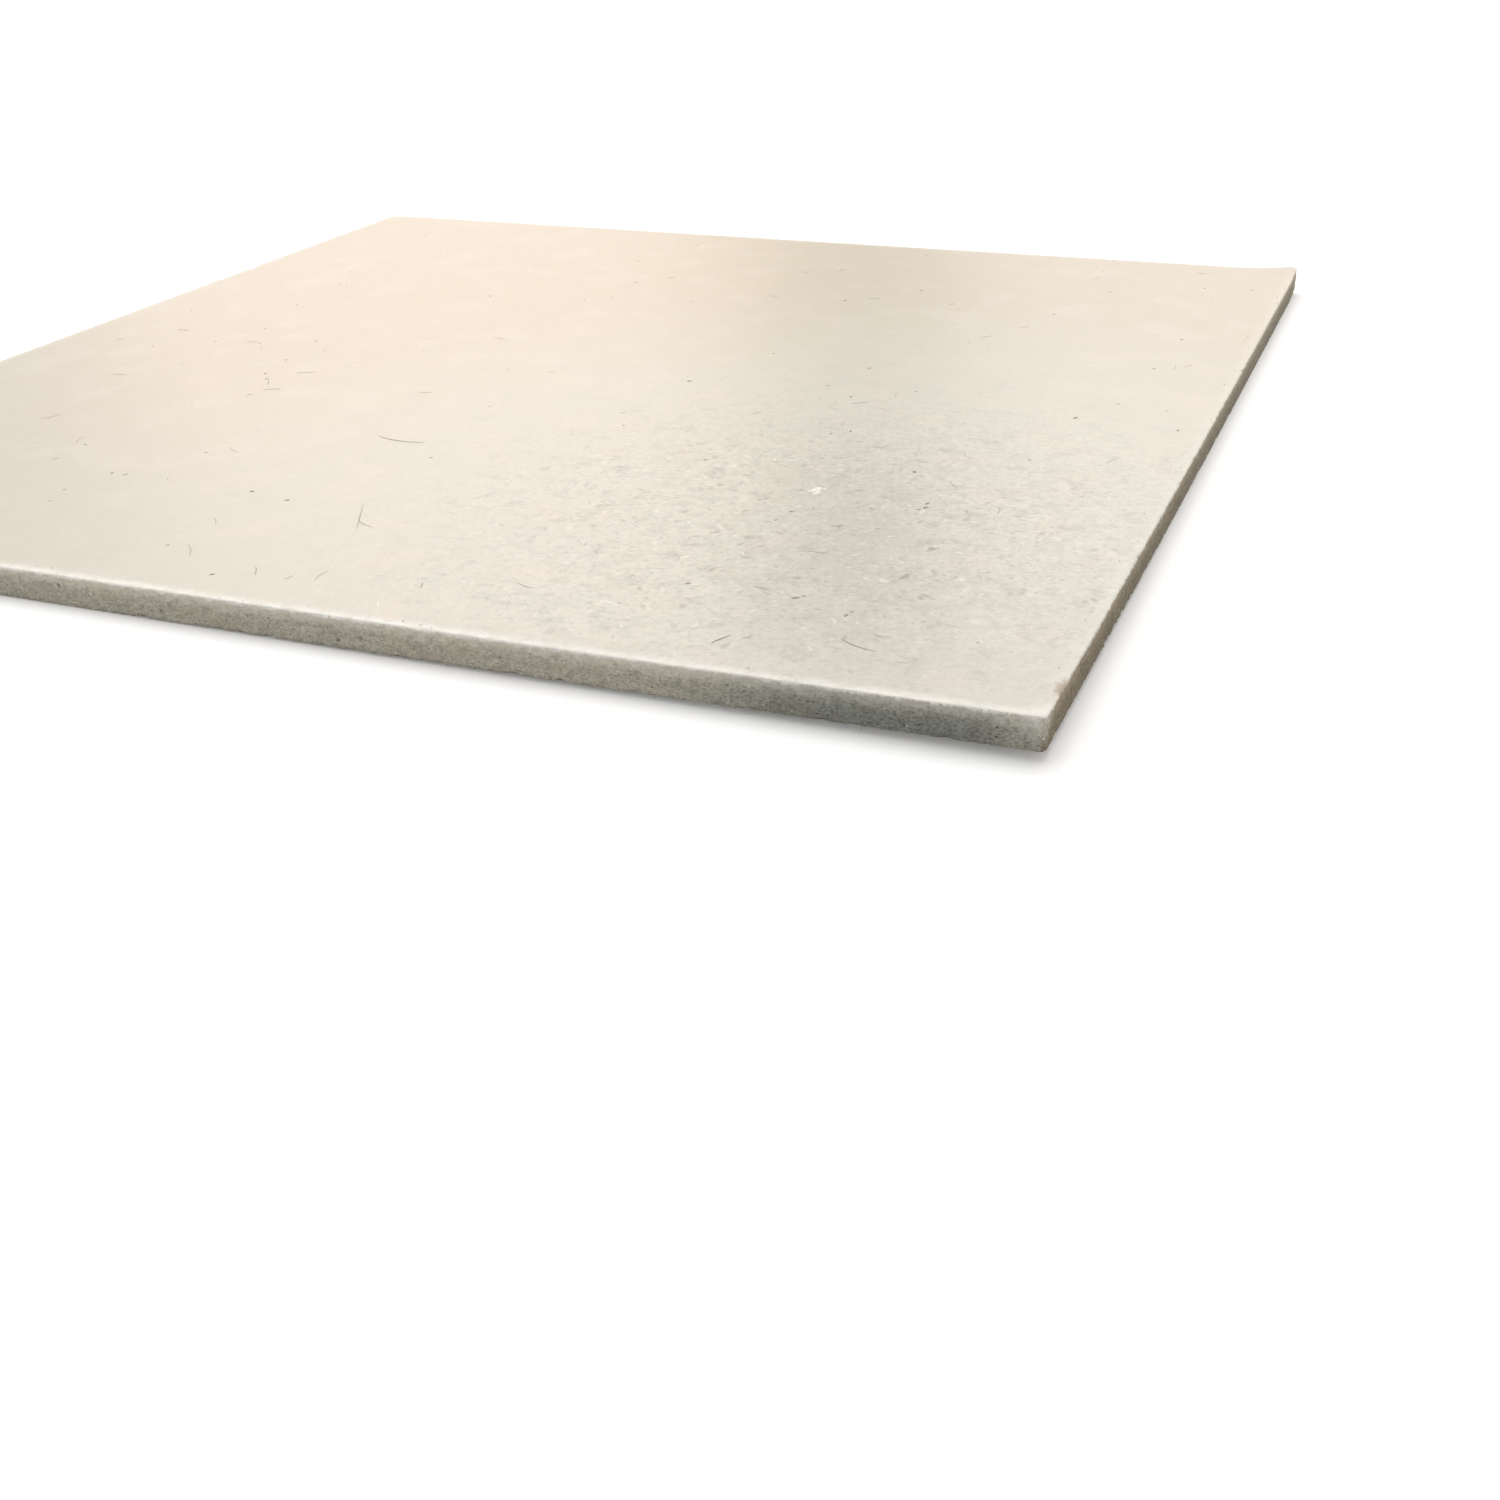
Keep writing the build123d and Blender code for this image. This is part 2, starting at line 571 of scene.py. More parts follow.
# %% A pattern of flakes
def flakes(place, spacing, length, width, share, ragged=0.35, through=False):
    """Small ellipses, one at most in each cell of that spacing, as a mask from 0 to 1."""
    cells = stretched(place, (1 / spacing,) * 3)
    dealt = add("ShaderNodeTexVoronoi", {"Vector": cells, "Scale": 1.0, "Randomness": 0.9},
                voronoi_dimensions="3D" if through else "2D").outputs
    chance = add("ShaderNodeSeparateColor", {"Color": dealt["Color"]}).outputs
    offset = add("ShaderNodeVectorMath", {0: cells, 1: dealt["Position"]}, operation="SUBTRACT")
    spin = {"Vector": offset.outputs["Vector"], "Angle": times(chance["Red"], 2 * math.pi)}
    if through:
        spin["Axis"] = dealt["Color"]
    turned = add("ShaderNodeVectorRotate", spin,
                 rotation_type="AXIS_ANGLE" if through else "Z_AXIS").outputs["Vector"]
    across = 2 * spacing / width
    scales = (2 * spacing / length, across, across if through else 0.0)
    reach = distance_from(stretched(turned, scales))
    reach = times(reach, ramp(chance["Green"], 0.0, 1.0, 1.0, 2.2))
    wobble = times(cloud(place, width * 0.8), ragged)
    inside = ramp(combine("ADD", reach, wobble), 1.45, 0.60)
    present = ramp(chance["Blue"], 1 - share, 1.0 - share * 0.55)
    return times(inside, present)


# %% [markdown]
# ## Material: the pressed skin
#
# Raw chipboard pressed against polished steel, then given a light sanding: pale, warm and
# faintly shiny. To the eye it is cream with a slow cloudiness of warmer and cooler patches, a
# fine mottle of single particles, and the flakes above. All of these show most in one broad
# patch towards the front right. Away from it they fade and the skin turns creamier: that is
# partly the board's own cream and partly painted glare, the far side's warm satin reflection
# painted into the colour. A long grey strip there is a painted reflection of the dull band.
# The layers are laid over one another in that order.

# %% The skin's clouds
SKIN = linear("#DBD9CE")
SKIN_WARM = linear("#E1D8CC")
SKIN_COOL = linear("#D0D1C6")
# For patches of real wear, and for the long strip that is a painted reflection of the dull band
SKIN_WORN_AND_PAINTED_REFLECTION = linear("#C4C3B9")
# The board's cream, and partly painted glare: the far side's warm satin reflection painted into the
# colour
SKIN_CREAMY_AND_PAINTED_GLARE = linear("#D7CDBC")
# Near this patch the skin shows its full detail; far from it the detail fades, as painted glare
painted_glare_free_patch = Vector((183.0, -168.0, 0.0))
painted_glare_reach = (60.0, 210.0)
creamy_and_painted_glare_reach = (90.0, 420.0)
# A long grey strip along the view: a painted reflection of the dull band across the face
dull_band_strip = Vector((195.0, -185.0, 0.0))
dull_band_width = 48.0
dull_band_length = 150.0
dull_band_turn = math.radians(-17.0)


def skin_clouds(flat, bent, from_patch):
    """The slow drift of the skin's colour, and a long grey strip that is a painted reflection of the
    dull band.
    """
    # Far out the skin turns creamier and its clouds fade, partly as painted glare
    warm = times(ramp(cloud(bent, 28.0, 3.0), 0.47, 0.68, 0.0, 0.75),
                 ramp(from_patch, *creamy_and_painted_glare_reach, 1.0, 0.5))
    cool = times(ramp(cloud(bent, 14.0, 3.0, 0.6), 0.48, 0.72, 0.0, 0.7),
                 ramp(from_patch, *creamy_and_painted_glare_reach, 1.0, 0.25))
    # The strip is a painted reflection of the dull band
    dull_band = ellipse_reach(flat, dull_band_strip, dull_band_width, dull_band_length, dull_band_turn)
    dull_band = combine("ADD", dull_band, cloud(flat, 22.0, 4.0, 0.6))
    return layered(SKIN, (SKIN_CREAMY_AND_PAINTED_GLARE, ramp(from_patch, *creamy_and_painted_glare_reach)), (SKIN_WARM, warm),
                   (SKIN_COOL, cool), (SKIN_WORN_AND_PAINTED_REFLECTION, ramp(dull_band, 1.7, 0.6, 0.0, 0.6)))


# %% The skin's particles
PARTICLE = linear("#C3C3B7")
DUST = linear("#A39C91")
RESIN = linear("#F1EEE5")
particle_size = 3.2


def skin_particles(colour, bent, mottle, clear_of_painted_glare):
    """A fine mottle of dust and resin, and the single particles that stand out from it."""
    particles = add("ShaderNodeTexVoronoi", {
        "Vector": bent, "Scale": 1 / particle_size, "Smoothness": 0.8},
        voronoi_dimensions="2D", feature="SMOOTH_F1")
    chance = add("ShaderNodeSeparateColor", {"Color": particles.outputs["Color"]}).outputs
    # Each layer fades away from the front right patch, as painted glare
    return layered(colour, (DUST, times(ramp(mottle, 0.48, 0.72, 0.0, 0.34), clear_of_painted_glare)),
                   (RESIN, times(ramp(mottle, 0.47, 0.30, 0.0, 0.36), clear_of_painted_glare)),
                   (PARTICLE, times(ramp(chance["Red"], 0.50, 0.85, 0.0, 0.30), clear_of_painted_glare)),
                   (RESIN, times(ramp(chance["Green"], 0.55, 0.85, 0.0, 0.16), clear_of_painted_glare)))


# %% The skin's flecks
BARK = linear("#82786D")

# The spacing, length, width, share, shade and strength of the flecks, from fine to coarse
fleck_kinds = [
    (2.4, 2.0, 1.0, 0.55, DUST, 0.30),
    (4.2, 3.4, 1.6, 0.55, DUST, 0.38),
    (8.5, 5.0, 2.6, 0.45, DUST, 0.60),
    (12.0, 4.4, 1.6, 0.40, BARK, 0.45),
    (26.0, 7.0, 2.6, 0.40, BARK, 0.50),
]


def skin_flecks(colour, flat, bent, from_patch, clear_of_painted_glare):
    """Smudges, patches of wear, flecks of dust, bark and resin, and fine hairs, in clumps."""
    # The flecks fade away from the front right patch, as painted glare
    flecked = times(clear_of_painted_glare, ramp(cloud(flat, 15.0, 3.0), 0.38, 0.62, 0.3, 1.0))
    smudges = flakes(bent, 17.0, 10.0, 4.0, 0.50, 1.3)
    patches = times(ramp(cloud(bent, 10.0, 5.0, 0.7), 0.49, 0.66), flecked)
    specks = ramp(cloud(bent, 4.0, 4.0, 0.7), 0.53, 0.68, 0.0, 0.7)
    colour = layered(colour, (DUST, times(smudges, flecked, 0.8)), (SKIN_WORN_AND_PAINTED_REFLECTION, patches),
                     (DUST, times(specks, patches)))
    for spacing, length, width, share, shade, strength in fleck_kinds:
        mask = flakes(flat, spacing, length, width, share)
        colour = tint(colour, shade, times(mask, flecked, strength))
    pale = flakes(bent, 8.0, 4.5, 1.8, 0.40)
    hairs = flakes(bent, 34.0, 24.0, 0.6, 0.40, 0.2)
    # The pale flakes fade away from the front right patch, as painted glare
    return layered(colour, (RESIN, times(pale, ramp(from_patch, *painted_glare_reach, 0.6, 0.15))),
                   (BARK, times(hairs, flecked, 0.6)))


# %% The pressed skin
bend_size = 9.0
mottle_height = -0.03


def pressed_skin(place):
    """Colour and height of the pressed skin."""
    flat = stretched(place, (1.0, 1.0, 0.0))
    bend = add("ShaderNodeTexNoise", {"Vector": flat, "Scale": 1 / bend_size, "Detail": 2.0})
    bent = add("ShaderNodeVectorMath", {
        0: bend.outputs["Color"], 1: (bend_size, bend_size, 0.0), 2: flat}, operation="MULTIPLY_ADD")
    bent = bent.outputs["Vector"]
    from_patch = distance_from(flat, painted_glare_free_patch)
    # 1 near the front right patch and 0.12 far out, where painted glare washes the skin's detail out
    clear_of_painted_glare = ramp(from_patch, *painted_glare_reach, 1.0, 0.12)
    mottle = cloud(flat, 2.6, 4.0, 0.65)
    colour = skin_clouds(flat, bent, from_patch)
    colour = skin_particles(colour, bent, mottle, clear_of_painted_glare)
    colour = skin_flecks(colour, flat, bent, from_patch, clear_of_painted_glare)
    return colour, times(mottle, mottle_height)


# %% [markdown]
# ## Material: the sawn core
#
# The saw cuts through thousands of particles end on, and the cut is rough and soaks up light.
# To the eye it is a dull grey-beige of fine grains a little lighter and darker than it, which
# lie flat as they were pressed, with dark holes where a particle has pulled out, their dark a
# painted shade. The dense layer close under the face is creamier. Two colours are multiplied over
# the grain by their place: a painted shade that turns the right half of the front edge greyer
# and darker towards its bottom, and a brown that turns the right side browner.

# %% The cut particles
CORE = linear("#C5C0AF")
CORE_DARK = linear("#A19C8D")
CORE_PALE = linear("#DCD7C7")
CORE_WARM = linear("#B8AB97")
CORE_DUSTY = linear("#928F84")


def cut_particles(place, layers, grains, lumpy):
    """The particles that the saw has cut, with the marks of the saw across them."""
    drift = cloud(layers, 14.0, 3.0)
    saw_marks = cloud(stretched(place, (1.0, 1.0, 0.1)), 1.7, 2.0)
    colour = tint(CORE_DARK, CORE, ramp(grains, 0.38, 0.52))
    for noise_value, shade, low, high, strength in [
        (grains, CORE_PALE, 0.54, 0.68, 0.9),
        (lumpy, CORE_DUSTY, 0.50, 0.66, 0.5),
        (lumpy, CORE_PALE, 0.46, 0.32, 0.45),
        (drift, CORE_WARM, 0.48, 0.70, 0.35),
        (drift, CORE_DARK, 0.46, 0.30, 0.5),
        (saw_marks, CORE_DARK, 0.48, 0.66, 0.25),
    ]:
        colour = tint(colour, shade, ramp(noise_value, low, high, 0.0, strength))
    clots = flakes(layers, 7.0, 4.0, 1.6, 0.45, 1.0, through=True)
    splinters = flakes(layers, 5.0, 3.2, 0.9, 0.40, through=True)
    return layered(colour, (CORE_DUSTY, times(clots, 0.5)), (CORE_PALE, times(splinters, 0.5)))


# %% The sawn core
CORE_CREAM = linear("#EEE7D8")
# Painted shade, multiplied over the right half of the front edge and darker towards its bottom
PAINTED_SHADE_GREY = linear("#B9C0C6")
SHADE_BROWN = linear("#D2C4B3")
# Painted shade for holes and bites, where a hollow would hold shade
PAINTED_HOLE_SHADE = linear("#4E4841")


def painted_shade_by_place(colour, place, below_face, grains):
    """A painted shade over the right half of the front edge, darker low down, and a browner right side.
    """
    axis = add("ShaderNodeSeparateXYZ", {"Vector": place}).outputs
    # Painted shade: greyer from X 160 to 240 mm, darker further below the face, less at the corner,
    # none on the back edge; its dark grains darker still
    grey = times(ramp(axis["X"], 160.0, 240.0), ramp(below_face, 1.0, 9.0, 0.48, 1.0),
                 ramp(axis["X"], 276.0, 295.0, 1.0, 0.5),
                 ramp(axis["Y"], 270.0, 297.0, 1.0, 0.0))
    colour = tint(colour, PAINTED_SHADE_GREY, grey, "MULTIPLY")
    colour = tint(colour, PAINTED_HOLE_SHADE, times(grey, ramp(grains, 0.48, 0.34, 0.0, 0.40)))
    brown = times(ramp(axis["X"], half_length - 2.5, half_length - 0.8),
                  ramp(axis["Y"], -290.0, 280.0, 1.0, 0.6))
    return tint(colour, SHADE_BROWN, brown, "MULTIPLY")


def sawn_core(place, below_face):
    """Colour and height of the sawn edges."""
    layers = stretched(place, (1.0, 1.0, 1.7))
    grains = cloud(layers, 1.35, 3.0, 0.65)
    lumpy = cloud(layers, 4.0, 3.0, 0.6)
    colour = cut_particles(place, layers, grains, lumpy)
    small_holes = flakes(layers, 2.8, 1.5, 1.0, 0.36, through=True)
    large_holes = flakes(layers, 8.0, 2.2, 1.0, 0.40, through=True)
    holes = combine("MAXIMUM", small_holes, large_holes)
    depth = combine("ADD", below_face, times(lumpy, 5.0))
    # The holes get painted shade
    colour = layered(colour, (PAINTED_HOLE_SHADE, times(holes, 0.9)), (CORE_CREAM, ramp(depth, 8.6, 2.4, 0.0, 0.72)))
    colour = painted_shade_by_place(colour, place, below_face, grains)
    height = combine("SUBTRACT", times(grains, 0.25), times(holes, 0.2))
    return colour, height


# %% [markdown]
# ## The board's material
#
# Skin and core are one board, so they share one material. The skin is about a millimetre thick
# and tears raggedly at the saw cut, so the border between them is the stored depth below the
# face, made uneven by noise. Along the upper lip the skin is bruised to a chalky white, and a
# painted highlight, strongest along the front, makes it whiter still. Under the back the saw has
# left it sharp and a little dirty. Deeper breaks show browner particles, and on the sawn edges
# they grow darker with their depth, which is painted shade.

# %% Bruised and rubbed places
# Partly bruised white skin, partly a painted highlight where the rounded lip catches the light
LIP_BRUISE_AND_HIGHLIGHT = linear("#FFFCF4")
CRUMBLED = linear("#A8937A")
soft_corner = Vector((half_length - 1.0, -half_width, 14.5))
brown_spot = Vector((half_length - 0.8, right_crumble[1] + 1.0, 0.0))
brown_width = 2.6
brown_length = 8.0


def stored(name):
    """A number that the mesh stores at each point."""
    return add("ShaderNodeAttribute", attribute_name=name).outputs["Fac"]


def bruised_and_lit_lip(place, below_face, ragged):
    """Where the upper lip is bruised and carries a painted highlight: most along the front, and less on
    its right half.
    """
    bruise_and_highlight = combine("ADD", stored("inset"), times(ragged, 4.0))
    axis = add("ShaderNodeSeparateXYZ", {"Vector": place}).outputs
    return times(ramp(bruise_and_highlight, 8.5, 3.2), ramp(below_face, 3.0, 1.5),
                 ramp(axis["Y"], -296.0, -285.0, 1.0, 0.3),
                 ramp(axis["X"], 60.0, 220.0, 1.0, 0.7),
                 ramp(cloud(place, 6.0), 0.35, 0.55, 0.6, 1.0))


def rubbed_brown(place, ragged):
    """Where the face is rubbed brown, by the crumbled place of the right side."""
    rubbed = ellipse_reach(place, brown_spot, brown_width, brown_length)
    return ramp(combine("ADD", rubbed, times(ragged, 1.6)), 1.9, 1.0, 0.0, 0.75)


# %% Skin over core
GRIME = linear("#79736A")


def board_material():
    """Pressed skin on both faces, sawn core on the edges, and a pale torn lip between them."""
    material, shader = new_material("pressed_and_sawn_chipboard")
    place = in_millimetres()
    below_face = stored("below_face")
    above_back = stored("above_back")
    ragged = cloud(place, 1.6, 3.0, 0.65)

    skin_colour, skin_height = pressed_skin(place)
    bruise_and_highlight = bruised_and_lit_lip(place, below_face, ragged)
    rubbed = rubbed_brown(place, ragged)
    # The upper lip: bruised skin with a painted highlight
    skin_colour = layered(skin_colour, (LIP_BRUISE_AND_HIGHLIGHT, times(bruise_and_highlight, 0.9)), (CRUMBLED, rubbed))

    core_colour, core_height = sawn_core(place, below_face)
    grime = times(ramp(above_back, 1.8, 0.3), ramp(ragged, 0.4, 0.6), 0.4)
    chalk = times(ramp(distance_from(place, soft_corner), 11.0, 1.0), ramp(ragged, 0.4, 0.6, 0.25, 0.7))
    core_colour = layered(core_colour, (GRIME, grime), (RESIN, chalk))

    tear = ramp(cloud(place, 3.5, 4.0, 0.6), 0.32, 0.68, 0.2, 1.3)
    under_face = ramp(combine("SUBTRACT", below_face, tear), -0.4, 0.6)
    over_back = combine("SUBTRACT", above_back, times(ragged, 0.3))
    into_core = combine("MINIMUM", under_face, ramp(over_back, -0.1, 0.15))
    broken = stored("broken")
    # The bites in the sawn edges get darker with their depth: painted shade
    pit_shade = times(ramp(broken, 0.18, 0.50, 0.0, 0.55), ramp(below_face, 1.6, 2.6))
    colour = layered(skin_colour, (core_colour, into_core),
                     (CRUMBLED, ramp(broken, 0.35, 1.0, 0.0, 0.6)), (PAINTED_HOLE_SHADE, pit_shade))

    height = add("ShaderNodeMix", {"Factor": into_core, "A": skin_height, "B": core_height})
    bump = add("ShaderNodeBump", {
        "Height": height.outputs["Result"], "Strength": 1.0, "Distance": MM})
    roughness = ramp(combine("MAXIMUM", into_core, bruise_and_highlight), 0.0, 1.0, 0.38, 0.9)
    feed(shader, {"Base Color": colour, "Roughness": roughness, "Normal": bump.outputs["Normal"],
                  "IOR": 1.48})
    return material


# %% The board in its material
def dress(piece, material):
    """Gives a piece its material and ties it to the one body of the sheet."""
    piece.data.materials.append(material)
    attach(piece, "root")
    print(piece.name, "triangles", sum(len(face.vertices) - 2 for face in piece.data.polygons))


dress(board, board_material())
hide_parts("chipboard_sheet")

# %% [markdown]
# ## Hairs of fibre
#
# Long hairs of wood fibre lie in the skin, and a few hang from the lower lip. Each is a thin
# closed tube, drawn out to a point at both ends, that bends from one end through a middle
# point to the other. They are grey-brown, and turn creamier away from the front right patch,
# which is painted glare.

# %% Sweep a hair along its points
def bent_path(start, middle, end, steps=8):
    """Points of a smooth bend that passes through the middle point."""
    handle = middle * 2 - (start + end) / 2
    shares = [step / steps for step in range(steps + 1)]
    return [start * (1 - t) ** 2 + handle * 2 * t * (1 - t) + end * t * t for t in shares]


def swept_hair(path, width, vertices, polygons):
    """Adds a closed tube along a path, widest in the middle, to the lists of a mesh."""
    sides = 6
    first = len(vertices)
    steps = len(path) - 1
    for step, point in enumerate(path):
        along = (path[min(step + 1, steps)] - path[max(step - 1, 0)]).normalized()
        across = along.cross(Vector((0.3, 0.1, 1.0))).normalized()
        upward = across.cross(along)
        radius = width / 2 * (0.15 + 0.85 * math.sin(math.pi * step / steps) ** 0.6)
        for side in range(sides):
            angle = 2 * math.pi * side / sides
            vertices.append(point + across * radius * math.cos(angle)
                            + upward * radius * 0.7 * math.sin(angle))
    for step in range(steps):
        for side in range(sides):
            here = first + step * sides + side
            following = first + step * sides + (side + 1) % sides
            polygons.append((here, following, following + sides, here + sides))
    last = first + steps * sides
    polygons.append(tuple(range(first + sides - 1, first - 1, -1)))
    polygons.append(tuple(range(last, last + sides)))


# %% Where the hairs lie
def on_face(x, y, lift=0.0):
    """A point on the good face, or a little above it."""
    return Vector((x, y, underside(x, y) + thickness + lift))


hair_plans = [
    ((-43.3, -122.3), (-31.0, -125.6), (-18.3, -124.0), 0.50),
    ((222.7, -263.3), (229.0, -267.6), (237.3, -270.0), 0.45),
    ((184.0, -280.7), (185.6, -276.2), (188.0, -272.0), 0.45),
    ((-2.3, -269.3), (0.4, -272.4), (2.7, -276.7), 0.50),
    ((-40.7, -258.7), (-36.0, -263.0), (-32.3, -268.7), 0.45),
    ((-49.3, -231.7), (-46.2, -234.2), (-44.0, -237.7), 0.40),
    ((-1.7, -198.3), (5.0, -211.0), (13.3, -226.7), 0.35),
    ((5.4, -212.5), (10.0, -218.0), (17.5, -221.0), 0.30),
    ((64.9, -263.2), (66.4, -265.9), (67.4, -268.8), 0.45),
    ((-148.0, -58.0), (-143.0, -64.0), (-139.0, -71.0), 0.45),
]
hair_dice = random.Random(7)
for _ in range(46):
    x = hair_dice.uniform(-280, 285)
    y = hair_dice.uniform(-285, 285)
    turn, length = hair_dice.uniform(0, math.pi), hair_dice.uniform(3.0, 11.0)
    step = Vector((math.cos(turn), math.sin(turn))) * length / 2
    bend = Vector((-step.y, step.x)) * hair_dice.uniform(-0.3, 0.3)
    hair_plans.append(((x - step.x, y - step.y), (x + bend.x, y + bend.y),
                       (x + step.x, y + step.y), hair_dice.uniform(0.22, 0.36)))

# Each hair at the lower lip: how far along the front edge, its drop and its sway
hanging_hairs = [(-170.0, 1.0, 0.6), (96.0, 1.3, -0.7), (171.0, 1.8, 0.8), (243.0, 2.2, -0.9)]

# %% The hairs and their fibre
hair_vertices, hair_polygons = [], []
for start, middle, end, width in hair_plans:
    path = bent_path(Vector(start), Vector(middle), Vector(end))
    path = [on_face(point.x, point.y, 0.03) for point in path]
    swept_hair(path, width, hair_vertices, hair_polygons)
for x, drop, sway in hanging_hairs:
    lip = Vector((x, -half_width + 0.7, underside(x, -half_width) + 0.35))
    foot = lip + Vector((sway, -0.3, -min(drop, lip.z - 0.3)))
    middle = (lip + foot) / 2 + Vector((sway * 0.4, 0, 0))
    swept_hair(bent_path(lip, middle, foot), 0.35, hair_vertices, hair_polygons)
hairs = mesh_object("hairs_of_fibre", hair_vertices, hair_polygons)
material, shader = new_material("wood_fibre")
place = in_millimetres()
drift = ramp(cloud(place, 30.0), 0.35, 0.65)
colour = tint(linear("#A3998D"), linear("#BDB4A9"), drift)
# Far from the front right patch the hairs turn creamy: painted glare
painted_glare_on_hair = ramp(distance_from(place, painted_glare_free_patch), 90.0, 230.0, 0.0, 0.55)
feed(shader, {"Base Color": tint(colour, SKIN_CREAMY_AND_PAINTED_GLARE, painted_glare_on_hair), "Roughness": 0.7})
dress(hairs, material)

# %% [markdown]
# ## Bark flakes and pale spots
#
# A few flakes are large enough to be told apart, so each is placed where the real sheet has
# it: bark, which is grey-brown, and spots of resin and crushed wood, which are nearly white.
# Each is a very flat chip with a ragged outline, pressed in until it is almost level.

# %% Press chips into the face
chip_depth = 0.25


def pressed_chip(x, y, length, width, turn, dice, vertices, polygons, proud=0.05):
    """Adds one flat chip with a ragged outline, most of it below the face."""
    count = 11
    along = unit_step(turn)
    across = Vector((-along.y, along.x))
    first = len(vertices)
    outline = []
    for corner in range(count):
        angle = 2 * math.pi * corner / count
        ragged = dice.uniform(0.72, 1.08)
        outline.append(along * (length / 2 * math.cos(angle) * ragged)
                       + across * (width / 2 * math.sin(angle) * ragged))
    for share, lift in ((1.0, -0.07), (0.86, proud), (0.4, proud * 1.3)):
        for offset in outline:
            vertices.append(on_face(x + offset.x * share, y + offset.y * share, lift))
    vertices.append(on_face(x, y, -chip_depth))
    for corner in range(count):
        following = (corner + 1) % count
        for ring in (0, count):
            polygons.append((first + ring + corner, first + ring + following,
                             first + ring + count + following, first + ring + count + corner))
        polygons.append((first + following, first + corner, first + 3 * count))
    polygons.append(tuple(range(first + 2 * count, first + 3 * count)))


def chips(name, plans, dice, material):
    """One piece made of many pressed chips."""
    vertices, polygons = [], []
    for x, y, length, width, turn in plans:
        pressed_chip(x, y, length, width, turn, dice, vertices, polygons)
    dress(mesh_object(name, vertices, polygons), material)


# %% Where the chips lie
bark_plans = [
    (55.0, -4.0, 3.4, 2.0, 60), (136.8, -5.0, 3.2, 1.5, 100), (241.5, -6.0, 3.6, 1.9, 70),
    (287.2, -11.0, 2.6, 1.5, 90), (153.4, -53.5, 2.4, 1.2, 80), (195.8, -96.6, 3.6, 1.8, 110),
    (211.9, -131.0, 3.4, 1.6, 80), (212.6, -135.8, 3.2, 1.7, 60), (210.6, -138.6, 2.1, 1.2, 20),
    (196.7, -235.7, 3.8, 2.0, 30), (198.8, -233.4, 2.2, 1.2, 150), (218.2, -245.0, 3.0, 1.5, 80),
    (219.0, -241.5, 1.8, 1.1, 30), (-12.7, -281.0, 2.4, 1.4, 40), (-33.3, -205.3, 3.0, 1.6, 20),
    (-53.3, -201.0, 3.2, 1.4, 160), (156.0, -235.0, 2.6, 1.3, 30), (130.0, 41.7, 2.6, 1.5, 45),
    (-121.7, 117.3, 2.6, 1.2, 120), (75.0, 163.0, 3.0, 1.6, 60), (-55.0, 170.0, 3.0, 1.2, 120),
    (-152.0, -54.0, 3.4, 1.2, 125), (-146.0, -62.0, 2.6, 1.0, 130), (236.5, -68.0, 2.0, 1.1, 10),
]
pale_plans = [
    (165.0, -128.2, 6.6, 3.6, 95), (166.6, -132.2, 5.6, 2.8, 70), (163.8, -131.0, 3.0, 2.0, 20),
    (167.9, -127.0, 2.6, 1.5, 140), (122.6, -112.0, 3.4, 1.7, 110), (198.3, -69.3, 3.0, 1.4, 100),
    (106.0, -231.0, 4.0, 1.6, 20), (97.0, -226.0, 2.6, 1.2, 150), (61.0, -286.0, 5.5, 1.0, 120),
]
chip_dice = random.Random(19)
for count, plans, sizes in ((60, bark_plans, (1.2, 2.6)), (50, pale_plans, (1.2, 3.0))):
    for _ in range(count):
        length = chip_dice.uniform(*sizes)
        plans.append((chip_dice.uniform(-282, 285), chip_dice.uniform(-285, 285), length,
                      length * chip_dice.uniform(0.35, 0.6), chip_dice.uniform(0, 180)))


# %% The chips and their materials
def patchy(name, dark, light, size, low, high, roughness):
    """A material that changes between two shades in patches of that many millimetres."""
    material, shader = new_material(name)
    patches = ramp(cloud(in_millimetres(), size, 3.0), low, high)
    feed(shader, {"Base Color": tint(linear(dark), linear(light), patches), "Roughness": roughness})
    return material


bark = patchy("bark_flake", "#7E7468", "#A89D90", 1.2, 0.35, 0.65, 0.6)
resin = patchy("crushed_wood_and_resin", "#E9E4D8", "#FAF8F1", 1.5, 0.3, 0.7, 0.5)
chips("bark_flakes", bark_plans, chip_dice, bark)
chips("pale_spots", pale_plans, chip_dice, resin)

# %% [markdown]
# ## Crumbs
#
# Grains of wood still cling to the sawn edges and to the lips, and a few have come to rest on
# the face close to them. Each is a small ball knocked out of shape, sunk in the edge so far
# that it never stands out past the saw line. The soft near corner holds the most.

# %% A crumb
ball = bmesh.new()
bmesh.ops.create_icosphere(ball, subdivisions=2, radius=1.0)
ball_corners = [corner.co.copy() for corner in ball.verts]
ball_faces = [[corner.index for corner in face.verts] for face in ball.faces]
ball.free()
crumb_dice = random.Random(23)
crumb_vertices, crumb_polygons = [], []


def add_crumb(centre, radius):
    """Adds a knocked ball that stays inside the radius."""
    squash = Vector([crumb_dice.uniform(0.6, 1.0) for _ in range(3)])
    first = len(crumb_vertices)
    for corner in ball_corners:
        point = Vector(a * b for a, b in zip(corner, squash)) * crumb_dice.uniform(0.82, 1.0)
        crumb_vertices.append(centre + point * radius)
    crumb_polygons.extend([first + corner for corner in face] for face in ball_faces)


